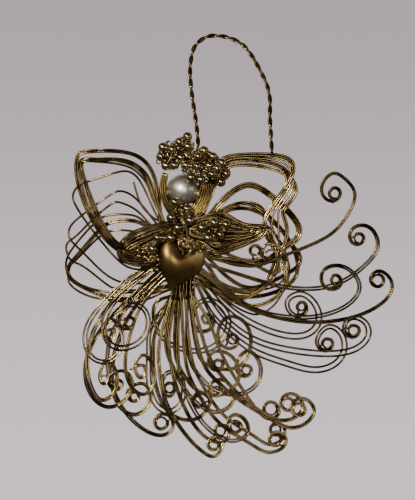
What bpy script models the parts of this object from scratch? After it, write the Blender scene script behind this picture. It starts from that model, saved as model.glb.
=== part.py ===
"""Wire angel ornament: doubled craft wires curled into a skirt, looped wire wings, a pearl head,
a heart charm and strings of small beads, hung from a loop of twisted wire.

The figure is bent in the XZ plane as on a wire jig. Its drawing is counted in squares of GRID,
to the right and up from the waist. Every wire keeps to one depth layer, and layers are handed
out so that wires which cross in the drawing never share one. X is to the viewer's right, +Z is
up, -Y faces the viewer, and the origin is inside the top of the hanging loop.
"""
import math

import bmesh
import bpy
import numpy as np

# Driving dimensions, in metres
GRID = 0.0003
WIRE_DIAMETER = 0.00064
AIR = 0.0003
BEAD_DIAMETER = 0.003
BEAD_STRING_DIAMETER = 0.0005
PEARL_DIAMETER = 0.010
HEART_WIDTH = 0.0140
HEART_HEIGHT = 0.0148
HEART_THICKNESS = 0.0042
HEART_RIM = 0.0010
SLEEVE_DEPTH = 0.0028
HAIR_DEPTH = 0.0016
LEFT_HAIR_WIDTH = 0.0018
RIGHT_HAIR_WIDTH = 0.0034
HEAD_SET_FORWARD = 0.001
WAIST_WIDTH = 0.0060
WAIST_CORNER = 0.0006
NECK_DIAMETER = 0.0024
WINDING_DEPTH = 0.00016
TWIST_LENGTH = 0.0070

# How the stack of layers opens and bends away from the waist
FAN = 0.6
FAN_START = 0.020
FAN_REACH = 0.050
HEM_FORWARD = 0.003
SIDES_BACK = 0.003

# Places on the drawing, in squares
HANG_POINT = (35.0, 221.7)
PEARL_CENTRE = (3.0, 70.0)
HEART_CENTRE = (-1.5, -6.5)
WAIST_X = 3.0
WAIST_TOP = 37.0
WAIST_BOTTOM = -32.0
SKIRT_SHIFT = (1.5, -1.5)
ROOT_RUN = 2.0
SHOULDER_HEIGHT = 4.0
HEART_TILT = math.radians(18)

# Turning of the wires
CURVE_STEPS = 8
PARALLEL_SPACING = 1.04
STRANDS_MEET = 0.006
CURL_STEP = math.radians(30)
CURL_TIGHTENING = 1.5
TENDRIL_RINGS = 18
WING_RINGS = 16
SLEEVE_POINTS = 16
HAIR_RINGS = 5
RINGS_PER_TWIST = 5
WINDINGS = 6

# Shape of a bead along its wire: places and radii as shares of the bead's radius
SIDES_OF_BEAD = 6
BEAD_PROFILE = [(-0.42, 0.88), (0.0, 1.0), (0.42, 0.88)]
BEAD_TO_PEARL = 5.0 / 3.0

# Bundles of fine wire: number of ribs, and their valleys and outer edges as shares of the depth.
# A sleeve's loops each have a crest, at a share of the loop's width from its outer side.
RIBS = 5
RIB_VALLEY = 0.78
RIB_EDGE = 0.6
SLEEVE_LOOPS = 3
LOOP_CREST = 0.45
LEFT_HAIR_ENDS = (1, 1, 1, 1)
RIGHT_HAIR_ENDS = (1, 0.6, 1, 1)

# A tendril is a doubled wire: points of its arm, centre of its eye, radius and angle where the
# curl starts, angle over which it tightens, angle of the last round turn, radius of the eye,
# width of the curl over its height, and the widest spacing of its two strands.
TENDRILS = {
    "tendril_right_1": ([(20, 8), (50, -2), (72, -4), (110, 9), (150, 28), (169, 52), (172, 72)],
                        (153, 68), 20, 90, 240, 190, 5.5, 1, 2.4),
    "tendril_right_2": ([(20, 0), (60, -13), (90, -23), (120, -27), (150, -24), (180, -7), (196, 15)],
                        (177, 23), 16.5, 25, 300, 160, 5, 1, 3.6),
    "tendril_right_3": ([(18, -4), (45, -28), (75, -48), (120, -56), (150, -51), (170, -40), (178, -25),
                         (170, -10), (155, -4), (141, -10)], (154, -18), 14, 200, 200, 150, 4.5, 1, 3.6),
    "tendril_right_4": ([(18, -8), (55, -40), (85, -53), (120, -60), (160, -58), (190, -48), (208, -33),
                         (210, -20)], (196, -19), 10, 66, 200, 90, 6, 1, 3.0),
    "tendril_right_5": ([(18, -12), (32, -30), (50, -48), (70, -61), (100, -73), (125, -73), (137, -60),
                         (133, -42), (118, -32), (106, -39)], (120, -45), 13, 200, 180, 150, 4.5, 1, 5.5),
    "tendril_right_6": ([(16, -18), (35, -45), (52, -64), (75, -79), (120, -90), (150, -92), (176, -86),
                         (187, -72), (182, -59)], (172, -69), 13, 99, 220, 150, 5.5, 1, 5.5),
    "tendril_right_7": ([(14, -23), (30, -52), (50, -73), (72, -89), (110, -103), (135, -108),
                         (156, -100), (163, -85), (158, -70), (147, -65)],
                        (146, -82), 12.5, 132, 230, 110, 5, 1, 5.5),
    "tendril_hem_1": ([(9, -34), (13, -65), (21, -98), (40, -124), (65, -142), (88, -156),
                       (110, -165), (127, -158)], (117, -147), 15, -4, 270, 150, 6, 1, 3.2),
    "tendril_hem_2": ([(11, -34), (18, -65), (28, -95), (45, -120), (63, -137), (82, -151),
                       (102, -158), (117, -152)], (106, -142), 15, -4, 230, 160, 6, 1, 3.2),
    "tendril_hem_3": ([(12, -34), (22, -50), (31, -68), (40, -92), (56, -120), (72, -143),
                       (80, -153), (89, -157)], (87, -146), 11.5, -30, 170, 20, 4.5, 1, 2.6),
    "tendril_hem_4": ([(4, -34), (6, -70), (13, -105), (28, -135), (48, -158), (70, -172),
                       (88, -182), (100, -177)], (94, -167), 9.5, -20, 150, 130, 5.5, 1, 2.6),
    "tendril_hem_5": ([(0, -35), (1, -75), (8, -112), (25, -145), (45, -166), (66, -179),
                       (86, -189), (100, -185)], (93, -177), 11, 0, 200, 80, 5.5, 1, 2.8),
    "tendril_hem_6": ([(-2, -36), (-5, -70), (-2, -105), (6, -135), (20, -158), (35, -172),
                       (54, -178), (66, -170), (63, -157)], (54, -164), 12, 95, 200, 150, 5.5, 1, 3.6),
    "tendril_hem_7": ([(-6, -36), (-12, -70), (-10, -105), (0, -138), (14, -164), (28, -177),
                       (39, -180)], (39, -168), 11, -60, 150, 120, 5.5, 1, 3.0),
    "tendril_hem_8": ([(-10, -37), (-20, -70), (-22, -105), (-15, -140), (2, -168), (18, -186),
                       (32, -193), (40, -186)], (32, -181), 9, 20, 150, 120, 5.5, 1, 3.2),
    "tendril_centre_1": ([(-8, -32), (-24, -40), (-27, -60), (-17, -78), (8, -89), (30, -86), (43, -74),
                          (47, -58), (40, -45), (25, -38), (12, -48), (13, -65)],
                         (25, -57), 14, 250, 180, 170, 4.5, 1, 4.5),
    "tendril_centre_2": ([(8, -32), (11, -65), (17, -92), (27, -104), (45, -108), (61, -102), (69, -85),
                          (67, -67), (56, -56), (44, -57), (37, -68)],
                         (51, -78), 13.5, 190, 180, 170, 5, 1, 3.0),
    "tendril_centre_3": ([(-4, -34), (-8, -70), (-3, -102), (12, -126), (32, -134), (50, -128),
                          (58, -114), (53, -98), (41, -90)], (37, -103), 13, 120, 200, 140, 4.5, 1, 3.0),
    "tendril_centre_4": ([(6, -34), (4, -70), (10, -100), (25, -123), (48, -133), (65, -131), (77, -120),
                          (79, -105), (74, -94), (66, -90), (58, -96)],
                         (65, -109), 10.5, 165, 150, 150, 5, 1, 3.6),
    "tendril_centre_5": ([(-10, -38), (-16, -70), (-10, -102), (4, -128), (18, -143), (36, -150),
                          (50, -142), (52, -132)], (35, -129), 14, 35, 220, 120, 5, 1, 3.4),
    "tendril_centre_6": ([(-12, -43), (-26, -70), (-28, -105), (-24, -130), (-14, -149), (3, -158),
                          (19, -155)], (17, -140), 11.5, 0, 230, 90, 5.5, 1, 3.2),
    "tendril_centre_7": ([(-13, -40), (-30, -65), (-33, -100), (-31, -130), (-22, -147), (-10, -150),
                          (0, -140), (2, -125), (-4, -112)], (-11, -127), 16, 110, 240, 120, 5.5, 0.7, 4.5),
    "tendril_centre_8": ([(-9, -14), (-17, -17), (-25, -24), (-37, -40), (-48, -63), (-55, -90), (-55, -112), (-48, -127),
                          (-37, -132), (-28, -123), (-27, -110), (-31, -98), (-38, -93), (-45, -100)],
                         (-39, -108), 10.5, 190, 200, 80, 5, 0.6, 2.8),
    "tendril_left_1": ([(-9, 3), (-18, 0), (-28, -6), (-42, -18), (-62, -35), (-75, -53), (-77, -70), (-70, -83),
                        (-55, -86), (-41, -79), (-33, -65), (-36, -49), (-46, -43)],
                       (-52, -60), 14, 120, 220, 120, 5, 1, 4.5),
    "tendril_left_2": ([(-9, 9), (-20, 6), (-36, -3), (-56, -20), (-76, -39), (-90, -56), (-96, -75), (-92, -92),
                        (-80, -100), (-66, -95), (-59, -82), (-60, -68), (-69, -58)],
                       (-70, -72), 11.5, 130, 230, 110, 4.5, 0.8, 4.0),
    "tendril_left_3": ([(-9, 6), (-19, 3), (-32, -5), (-52, -23), (-73, -45), (-88, -70), (-94, -98), (-91, -122),
                        (-80, -138), (-68, -132), (-64, -118), (-68, -103), (-75, -99)],
                       (-76, -116), 10, 160, 150, 50, 5, 0.6, 3.4),
    "tendril_left_4": ([(-9, -1), (-17, -4), (-25, -10), (-41, -26), (-65, -50), (-83, -71), (-93, -92), (-96, -115), (-88, -136),
                        (-73, -145), (-59, -140), (-50, -128), (-50, -116), (-60, -109)],
                       (-63, -122), 11, 150, 180, 120, 4, 1, 3.2),
    "tendril_left_5": ([(-9, -5), (-17, -8), (-26, -15), (-46, -37), (-63, -58), (-73, -85), (-73, -110), (-66, -133),
                        (-52, -155), (-33, -170), (-18, -173), (-9, -166)],
                       (-20, -161), 11, 25, 200, 100, 6, 1, 3.4),
    "tendril_left_6": ([(-9, -9), (-16, -12), (-24, -19), (-45, -44), (-62, -75), (-69, -105), (-68, -130), (-59, -148),
                        (-46, -153), (-34, -145), (-31, -132), (-39, -122)],
                       (-47, -135), 10, 110, 160, 140, 4.5, 1, 3.4),
    "curl_behind_wing_1": ([(20, 15), (42, 9), (60, 2)], (73, 11), 9.5, -90, 220, 80, 4.5, 1, 2.8),
    "curl_behind_wing_2": ([(20, 7), (45, 3), (68, -1), (84, -9), (95, -11), (103, -1), (101, 11)],
                           (90, 6), 12, 110, 200, 70, 5.5, 1, 2.8),
}

# The wing wires: each leaves the waist, bends into a loop and comes back, or ends cut
WINGS = {
    "wing_left_1": [(-9, 30), (-19, 38), (-20, 55), (-25, 80), (-32, 95), (-45, 105), (-65, 109), (-85, 109),
                    (-97, 108), (-102, 105), (-104, 95), (-103, 80), (-97, 60), (-85, 35), (-75, 22),
                    (-62, 10), (-42, 2), (-9, -2)],
    "wing_left_2": [(-9, 26), (-20, 48), (-26, 66), (-33, 84), (-46, 96), (-66, 101), (-88, 100), (-98, 98),
                    (-97, 85), (-88, 60), (-77, 35), (-68, 23), (-60, 15), (-42, 8), (-9, 2)],
    "wing_left_3": [(-9, 24), (-21, 38), (-28, 55), (-35, 70), (-45, 85), (-55, 89), (-70, 86), (-90, 79),
                    (-102, 74), (-107, 67), (-107, 60), (-100, 47), (-90, 32), (-80, 20), (-70, 8),
                    (-60, -2), (-50, -8), (-9, -12)],
    "wing_left_4": [(-9, 22), (-24, 36), (-40, 57), (-52, 67), (-62, 69), (-72, 64), (-85, 55), (-102, 42),
                    (-111, 32), (-111, 22), (-100, 10), (-88, -2), (-75, -14), (-62, -21), (-50, -24),
                    (-9, -20)],
    "wing_left_5": [(-9, 20), (-30, 36), (-40, 47), (-55, 56), (-65, 58), (-73, 53), (-82, 45), (-95, 35),
                    (-106, 23), (-114, 16), (-114, 8), (-110, 0), (-100, -5), (-85, -15), (-70, -27),
                    (-60, -30), (-40, -30), (-9, -24)],
    "wing_left_6": [(-9, 18), (-35, 38), (-45, 44), (-60, 46), (-75, 44), (-85, 38), (-100, 22), (-108, 12),
                    (-113, 4), (-115, -4), (-114, -12), (-108, -20), (-95, -27), (-80, -31), (-60, -33),
                    (-40, -32), (-9, -26)],
    "wing_left_7": [(-9, 16), (-32, 33), (-45, 39), (-60, 39.5), (-72, 37), (-82, 29), (-95, 15),
                    (-105, 3), (-111, -4), (-113, -13), (-108, -21), (-90, -31), (-70, -38),
                    (-45, -38), (-9, -28)],
    "wing_left_8": [(-9, 14), (-30, 24), (-50, 29), (-60, 30), (-70, 29), (-80, 24), (-92, 14), (-105, 0),
                    (-112, -8), (-113, -15), (-112, -23), (-105, -30), (-90, -37), (-75, -40),
                    (-60, -42), (-40, -42), (-9, -30)],
    "wing_right_1": [(15, 36), (24, 58), (32, 82), (42, 101), (70, 105.5), (95, 104), (108, 102), (114, 93),
                     (111, 82), (100, 62), (90, 48), (84, 36), (86, 25), (94, 12), (98, 0), (95, -14),
                     (86, -26), (70, -36), (50, -38), (30, -28), (15, -14)],
    "wing_right_2": [(15, 34), (26, 58), (34, 82), (48, 98), (65, 100), (85, 97), (105, 92), (110, 84),
                     (116, 70), (110, 57), (103, 48), (107, 38), (107, 25), (102, 12), (95, -2),
                     (90, -18), (82, -29), (65, -33), (40, -26), (15, -12)],
    "wing_right_3": [(15, 32), (28, 58), (36, 80), (50, 94), (65, 95), (85, 92), (103, 88), (108, 80),
                     (100, 65), (88, 48), (85, 38), (90, 25), (98, 12), (104, -4), (106, -20),
                     (98, -36), (80, -45), (60, -44), (38, -34), (15, -20)],
    "wing_right_4": [(15, 28), (33, 48), (45, 62), (60, 73), (72, 75), (85, 69), (100, 57), (110, 47),
                     (119, 34), (119, 25), (113, 17), (100, 10), (88, 0), (70, -4), (50, -2), (32, 5),
                     (15, 12)],
    "wing_right_5": [(15, 24), (32, 42), (50, 50), (70, 58), (82, 53), (90, 40), (98, 20), (107, 5),
                     (108, -12), (98, -25), (80, -30), (55, -28), (32, -17), (15, -6)],
    "wing_right_6": [(15, 10), (28, 3), (45, -15), (65, -27), (82, -26), (105, -15), (117, -8), (121, 0),
                     (118, 10), (110, 17), (103, 30), (85, 47), (66, 57), (48, 53), (30, 40), (15, 22)],
    "wing_right_7": [(15, 6), (25, -2), (40, -25), (60, -36), (82, -36), (105, -28), (117, -15),
                     (118, -2), (113, 14), (100, 32), (84, 45), (64, 52), (40, 46), (15, 20)],
    "wing_right_8": [(15, -8), (35, -25), (50, -40), (70, -48), (90, -42), (105, -30), (110, -10),
                     (105, 10), (96, 26), (84, 38)],
    "wing_right_9": [(15, -18), (28, -28), (45, -40), (65, -52), (78, -55), (92, -48), (103, -33),
                     (107, -15), (103, 2), (93, 16)],
}
WING_AT_HANGER = "wing_right_1"

# Wing wires that are doubled or tripled, side by side
WING_STRANDS = {"wing_left_1": 2, "wing_left_2": 2, "wing_left_7": 2, "wing_right_1": 2, "wing_right_2": 2,
                "wing_right_3": 2, "wing_right_4": 3, "wing_right_6": 2, "wing_right_7": 2}

# The hanging loop of two twisted wires, and how far to the right it lands on the right wing
HANGER = [(11, 97), (17, 107), (18, 118), (17, 130), (15, 145), (12, 165), (10, 190), (11, 200),
          (14, 212), (21, 220), (30, 224), (39, 224), (50, 222), (63, 215), (72, 204), (80, 190),
          (87, 175), (90, 160), (90, 145), (91, 125)]
HANGER_LANDING = 92.0
LANDING_REACH = 4.0

# Outer edges of the two sleeves, from the far tip round to it, and the line that their loops close in on
LEFT_SLEEVE = [(-63, 11), (-60, 0), (-48, -6), (-36, -7), (-27, -3), (-25, 10), (-14, 23), (0, 27),
               (0, 36), (-14, 38), (-34, 34), (-53, 26)]
LEFT_SLEEVE_MIDDLE = [(-6, 31), (-49, 9)]
RIGHT_SLEEVE = [(88, 32), (82, 22), (68, 15), (50, 7), (34, 4), (24, 15), (6, 22), (8, 34), (22, 44),
                (40, 49), (57, 46), (73, 39)]
RIGHT_SLEEVE_MIDDLE = [(14, 29), (72, 30)]
# Routes of the bundles of hair
LEFT_HAIR = [(-15, 86), (-17.5, 78), (-17.4, 68), (-13, 54), (-4, 42)]
RIGHT_HAIR = [(25.5, 77), (26, 66), (21.5, 53), (11.5, 43)]

# Bead strings: centres in bead diameters, to the right, towards the back and up from an anchor
HALO_BEADS = [(-2.2, -0.57, 3.3), (-2.0, -0.57, 4.25), (-1.1, -1.07, 4.0), (-0.35, -0.57, 4.75),
              (0.45, -0.57, 5.3), (0.5, -1.2, 4.3), (0.45, -0.3, 3.5), (1.5, -1.2, 3.3), (2.1, -0.57, 3.9),
              (3.0, -0.57, 3.3), (3.9, -0.5, 2.7), (3.4, -1.4, 2.1), (4.3, -0.73, 1.6), (3.8, -1.07, 0.75),
              (2.9, -1.97, 1.5), (2.6, -0.9, 2.4), (1.8, -1.87, 1.0), (0.8, -1.75, 1.2), (1.4, -1.67, 2.3),
              (0.3, -1.47, 2.4), (-0.2, -1.13, 3.2), (-0.85, -1.27, 2.4), (-1.7, -0.67, 2.4)]
COLLAR_BEADS = [(-0.80, -1.62, -1.26), (0.4, -1.7, -1.9), (0.7, -2.6, -3.1), (-0.5, -2.7, -3.8),
                (-1.15, -2.6, -2.8)]
LEFT_SLEEVE_BEADS = [(-0.9, 2.2), (-2.2, 2.2), (-2.7, 1.1)]
RIGHT_SLEEVE_BEADS = [(2.2, 3.2), (3.4, 3.7), (4.6, 3.5), (4.0, 2.5), (2.8, 2.2)]

FINISHES = {
    "brass_wire": ((0.20, 0.155, 0.065, 1), 0.30, 1.0),
    "fine_wire": ((0.33, 0.22, 0.08, 1), 0.35, 1.0),
    "dark_glass_bead": ((0.13, 0.11, 0.05, 1), 0.12, 0.9),
    "silver_pearl": ((0.62, 0.62, 0.64, 1), 0.18, 0.6),
    "antique_gold": ((0.24, 0.17, 0.05, 1), 0.32, 1.0),
}


def clear_scene():
    """Remove what the scene holds."""
    for item in list(bpy.data.objects):
        bpy.data.objects.remove(item, do_unlink=True)


def finish_material(name, finish):
    """A Principled material of one of the finishes, for one sub-part."""
    colour, roughness, metallic = FINISHES[finish]
    material = bpy.data.materials.new(name)
    material.use_nodes = True
    shader = material.node_tree.nodes["Principled BSDF"]
    shader.inputs["Base Color"].default_value = colour
    shader.inputs["Roughness"].default_value = roughness
    shader.inputs["Metallic"].default_value = metallic
    return material


def smooth_curve(points):
    """A centripetal Catmull-Rom curve through points of any dimension."""
    corners = np.array(points, float)
    corners = np.vstack([2 * corners[0] - corners[1], corners, 2 * corners[-1] - corners[-2]])
    curve = []
    for first in range(len(corners) - 3):
        p0, p1, p2, p3 = corners[first:first + 4]
        t1 = np.linalg.norm(p1 - p0) ** 0.5
        t2 = t1 + np.linalg.norm(p2 - p1) ** 0.5
        t3 = t2 + np.linalg.norm(p3 - p2) ** 0.5
        for t in np.linspace(t1, t2, CURVE_STEPS, endpoint=False):
            a1 = (t1 - t) / t1 * p0 + t / t1 * p1
            a2 = (t2 - t) / (t2 - t1) * p1 + (t - t1) / (t2 - t1) * p2
            a3 = (t3 - t) / (t3 - t2) * p2 + (t - t2) / (t3 - t2) * p3
            b1 = (t2 - t) / t2 * a1 + t / t2 * a2
            b2 = (t3 - t) / (t3 - t1) * a2 + (t - t1) / (t3 - t1) * a3
            curve.append((t2 - t) / (t2 - t1) * b1 + (t - t1) / (t2 - t1) * b2)
    curve.append(corners[-2])
    return np.array(curve)


def lengths_along(curve):
    """Distance from the curve's start to each of its points."""
    return np.r_[0, np.cumsum(np.linalg.norm(np.diff(curve, axis=0), axis=1))]


def root_at(point):
    """A wire's end beside or under the waist binding, and the end of its short straight run from there."""
    half_width = (WAIST_WIDTH / 2 + AIR) / GRID
    bottom = WAIST_BOTTOM - AIR / GRID
    if point[1] <= bottom:
        x = WAIST_X + min(max(point[0] - WAIST_X, -half_width), half_width)
        return [(x, bottom), (x, bottom - ROOT_RUN)]
    side = math.copysign(1, point[0] - WAIST_X)
    return [(WAIST_X + side * half_width, point[1]), (WAIST_X + side * (half_width + ROOT_RUN), point[1])]


def rooted(points, comes_back=False):
    """A route that starts at the waist binding, and may end there, with its points clear of it."""
    start = root_at(points[0])
    end = root_at(points[-1])[::-1] if comes_back else []
    middle = []
    for point in points:
        outside = abs(point[0] - WAIST_X) > WAIST_WIDTH / 2 / GRID or point[1] < WAIST_BOTTOM
        if outside and all(math.dist(point, root) > 2 * ROOT_RUN for root in start[:1] + end[-1:]):
            middle.append(point)
    return start + middle + end


def shifted(point):
    """A point of the skirt's reading, on the drawing."""
    return point[0] + SKIRT_SHIFT[0], point[1] + SKIRT_SHIFT[1]


def tendril_curve(arm, eye, start_radius, start_angle, tighten, last_turn, eye_radius, width_ratio):
    """The middle line of a tendril on the drawing: its arm, then a spiral into its eye."""
    tighten = math.radians(tighten)
    total = tighten + math.radians(last_turn)
    points = rooted([shifted(point) for point in arm])
    eye = shifted(eye)
    steps = max(6, round(total / CURL_STEP))
    for step in range(steps + 1):
        angle = total * step / steps
        share = max(0.0, 1 - angle / tighten) ** CURL_TIGHTENING
        radius = eye_radius + (start_radius - eye_radius) * share
        turned = math.radians(start_angle) + angle
        points.append((eye[0] + width_ratio * radius * math.cos(turned),
                       eye[1] + radius * math.sin(turned)))
    return smooth_curve(points)


def wing_curve(points):
    """The middle line of a wing wire: a loop from the waist that comes back to it or ends cut."""
    comes_back = abs(points[-1][0] - WAIST_X) <= abs(points[0][0] - WAIST_X)
    return smooth_curve(rooted(points, comes_back))


def pick_points(curve, count, straight=0.0, turn_weight=1.6):
    """Points along a curve, closer together where it turns, the second at the end of its straight run."""
    along = lengths_along(curve)
    steps = np.diff(curve, axis=0)
    headings = np.unwrap(np.arctan2(steps[:, 1], steps[:, 0]))
    turned = np.r_[0, np.cumsum(np.abs(np.diff(headings))), 0]
    turned[-1] = turned[-2]
    effort = along / along[-1] + turn_weight * turned / max(turned[-1], 1e-6)
    wanted = np.linspace(0, effort[-1], count)
    place = np.interp(wanted, effort, along)
    if straight:
        place[1] = straight
    return np.column_stack([np.interp(place, along, curve[:, axis]) for axis in range(2)])


def strand_spacing(curve, widest):
    """Spacing of a tendril's two strands: side by side at both ends, widest between."""
    share = lengths_along(curve)
    share = share / share[-1]
    side_by_side = PARALLEL_SPACING * WIRE_DIAMETER
    return side_by_side + np.maximum(widest * GRID - side_by_side, 0) * np.sin(math.pi * share)


def wing_width(name):
    """Width of a wing wire's strands, side by side."""
    return (1 + (WING_STRANDS.get(name, 1) - 1) * PARALLEL_SPACING) * WIRE_DIAMETER


def wire_routes():
    """Every wire's points on the drawing, in metres, and its width at each point."""
    routes = {}
    for name, row in TENDRILS.items():
        points = pick_points(tendril_curve(*row[:-1]) * GRID, TENDRIL_RINGS, ROOT_RUN * GRID)
        routes[name] = (points, strand_spacing(points, row[-1]) + WIRE_DIAMETER)
    for name, row in WINGS.items():
        points = pick_points(wing_curve(row) * GRID, WING_RINGS)
        along = lengths_along(points)
        spread = np.clip(np.minimum(along, along[-1] - along) / STRANDS_MEET, 0, 1)
        routes[name] = (points, WIRE_DIAMETER + (wing_width(name) - WIRE_DIAMETER) * spread)
    return routes


def dense(route, step=0.0004):
    """A route's polygon sampled closely, with its half width at each sample."""
    points, widths = route
    along = lengths_along(points)
    place = np.linspace(0, along[-1], int(along[-1] / step) + 2)
    samples = np.column_stack([np.interp(place, along, points[:, axis]) for axis in range(2)])
    return samples, np.interp(place, along, widths) / 2


def too_close(first, second):
    """Whether two wires on the same layer would come nearer than the air between them."""
    gaps = np.linalg.norm(first[0][:, None] - second[0][None], axis=2)
    return (gaps - first[1][:, None] - second[1][None]).min() < 1.5 * AIR


def give_layers(routes):
    """Hand out depth layers: tendrils from the front, wings from the middle to the back."""
    samples = {name: dense(route) for name, route in routes.items()}
    layers = []

    def place(name, first_layer):
        for names in layers[first_layer:]:
            if not any(too_close(samples[name], samples[other]) for other in names):
                names.append(name)
                return
        layers.append([name])

    for name in TENDRILS:
        place(name, 0)
    middle = len(layers) // 2
    for name in WINGS:
        place(name, middle)
    return {name: number for number, names in enumerate(layers) for name in names}


def depth(points, steps_from_middle):
    """Y of points on the drawing, for a wire some layers behind the middle one."""
    away = np.linalg.norm(points, axis=1)
    opening = 1 + FAN * np.clip((away - FAN_START) / FAN_REACH, 0, 1.5)
    bend = SIDES_BACK * (points[:, 0] / FAN_REACH) ** 2
    bend = bend - HEM_FORWARD * (np.minimum(points[:, 1], 0) / FAN_REACH) ** 2
    return steps_from_middle * (WIRE_DIAMETER + AIR) * opening + bend


def in_space(points, y):
    """Points of the drawing at the depth y, from the origin inside the hanging loop."""
    hang = np.array([HANG_POINT]) * GRID
    hang_y = depth(hang, 0)[0]
    return np.column_stack([points[:, 0] - hang[0, 0], y - hang_y, points[:, 1] - hang[0, 1]])


def closed_mesh(name, rings, finish, crease=40):
    """One closed body skinned over rings of points, as a named object.

    Its ends are flat fans from each end ring's first point, which has to see the whole ring.
    """
    mesh = bmesh.new()
    rows = [[mesh.verts.new(point) for point in ring] for ring in rings]
    count = len(rows[0])
    for low, high in zip(rows, rows[1:]):
        for side in range(count):
            after = (side + 1) % count
            mesh.faces.new((low[side], low[after], high[after], high[side]))
    for side in range(1, count - 1):
        mesh.faces.new((rows[0][0], rows[0][side + 1], rows[0][side]))
        mesh.faces.new((rows[-1][0], rows[-1][side], rows[-1][side + 1]))
    bmesh.ops.triangulate(mesh, faces=mesh.faces[:])
    bmesh.ops.recalc_face_normals(mesh, faces=mesh.faces[:])
    data = bpy.data.meshes.new(name)
    mesh.to_mesh(data)
    mesh.free()
    data.shade_smooth()
    data.set_sharp_from_angle(angle=math.radians(crease))
    data.materials.append(finish_material(name, finish))
    item = bpy.data.objects.new(name, data)
    bpy.context.collection.objects.link(item)
    return item


def side_directions(points):
    """Unit vectors across a route on the drawing, halving the angle at each point."""
    steps = np.diff(points, axis=0)
    steps = steps / np.linalg.norm(steps, axis=1)[:, None]
    along = np.vstack([steps[:1], steps[:-1] + steps[1:], steps[-1:]])
    along = along / np.linalg.norm(along, axis=1)[:, None]
    return np.column_stack([-along[:, 1], along[:, 0]])


def flat_wire(name, points, widths, steps_from_middle):
    """A wire, or a doubled wire as one flat band, along a route."""
    across = side_directions(points)
    y = depth(points, steps_from_middle)
    rings = []
    for side, front in ((1, -1), (1, 1), (-1, 1), (-1, -1)):
        edge = points + across * widths[:, None] / 2 * side
        rings.append(in_space(edge, y + front * WIRE_DIAMETER / 2))
    return closed_mesh(name, np.stack(rings, axis=1), "brass_wire")


def hanger_route():
    """The hanging loop on the drawing, from the top of the pearl to the top wire of the right wing."""
    foot = (PEARL_CENTRE[0], PEARL_CENTRE[1] + (PEARL_DIAMETER / 2 + 2 * AIR) / GRID)
    wing = wing_curve(WINGS[WING_AT_HANGER])
    top_wire = max(point[1] for point in wing if abs(point[0] - HANGER_LANDING) < LANDING_REACH)
    landing = (HANGER_LANDING, top_wire + (wing_width(WING_AT_HANGER) / 2 + AIR) / GRID)
    return [foot, *HANGER, landing]


def twisted_hanger():
    """The hanging loop: two wires twisted together, as one turning flat section."""
    curve = smooth_curve(hanger_route()) * GRID
    along = lengths_along(curve)
    count = round(along[-1] / TWIST_LENGTH * RINGS_PER_TWIST)
    place = np.linspace(0, along[-1], count + 1)
    points = np.column_stack([np.interp(place, along, curve[:, axis]) for axis in range(2)])
    across = side_directions(points)
    y = depth(points, 0)
    turned = 2 * math.pi * place / TWIST_LENGTH
    rings = []
    for quarter in range(4):
        reach = WIRE_DIAMETER * (1.0 if quarter % 2 == 0 else 0.5)
        angle = turned + quarter * math.pi / 2
        edge = points + across * (reach * np.cos(angle))[:, None]
        rings.append(in_space(edge, y + reach * np.sin(angle)))
    return closed_mesh("hanger_loop", np.stack(rings, axis=1), "brass_wire")


def wire_bundle(name, route, width, thickness, back_y, end_shares, finish, rings):
    """A band of wires laid side by side: ribbed in front, flat behind.

    The end shares are the widths and then the depths at both ends, as shares of the full ones.
    """
    points = pick_points(smooth_curve(route) * GRID, rings, turn_weight=0.2)
    share = lengths_along(points)
    share = share / share[-1]
    width_share = np.interp(share, (0, 0.25, 0.75, 1), (end_shares[0], 1, 1, end_shares[1]))
    depth_share = np.interp(share, (0, 0.35, 0.75, 1), (end_shares[2], 1, 1, end_shares[3]))
    across = side_directions(points)
    outline = [(0.0, 0.0), (-1.0, 0.0), (-1.0, RIB_EDGE)]
    for rib in range(RIBS):
        if rib:
            outline.append((2 * rib / RIBS - 1, RIB_VALLEY))
        outline.append(((2 * rib + 1) / RIBS - 1, 1.0))
    outline += [(1.0, RIB_EDGE), (1.0, 0.0)]
    sections = []
    for side, front in outline:
        edge = points + across * (width / 2 * width_share * side)[:, None]
        sections.append(in_space(edge, back_y - thickness * depth_share * front))
    return closed_mesh(name, np.stack(sections, axis=1), finish, crease=50)


def looped_sleeve(name, edge, middle, back_y):
    """A sleeve of wire loops that lie one inside another: ridged in front, flat behind."""
    closed = smooth_curve([edge[-1], *edge, *edge[:2]])[CURVE_STEPS:-CURVE_STEPS] * GRID
    along = lengths_along(closed)
    place = np.linspace(0, along[-1], SLEEVE_POINTS, endpoint=False)
    outline = np.column_stack([np.interp(place, along, closed[:, axis]) for axis in range(2)])
    start, end = np.array(middle) * GRID
    line = end - start
    share = np.clip((outline - start) @ line / (line @ line), 0, 1)
    inner = start + share[:, None] * line
    profile = [(1.0, 0.0), (1.0, RIB_EDGE)]
    for loop in range(SLEEVE_LOOPS):
        if loop:
            profile.append((1 - loop / SLEEVE_LOOPS, RIB_VALLEY))
        profile.append((1 - (loop + LOOP_CREST) / SLEEVE_LOOPS, 1.0))
    rings = [in_space(inner + (outline - inner) * size, np.full(len(outline), back_y - SLEEVE_DEPTH * front))
             for size, front in profile]
    return closed_mesh(name, rings, "brass_wire", crease=50)


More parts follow.
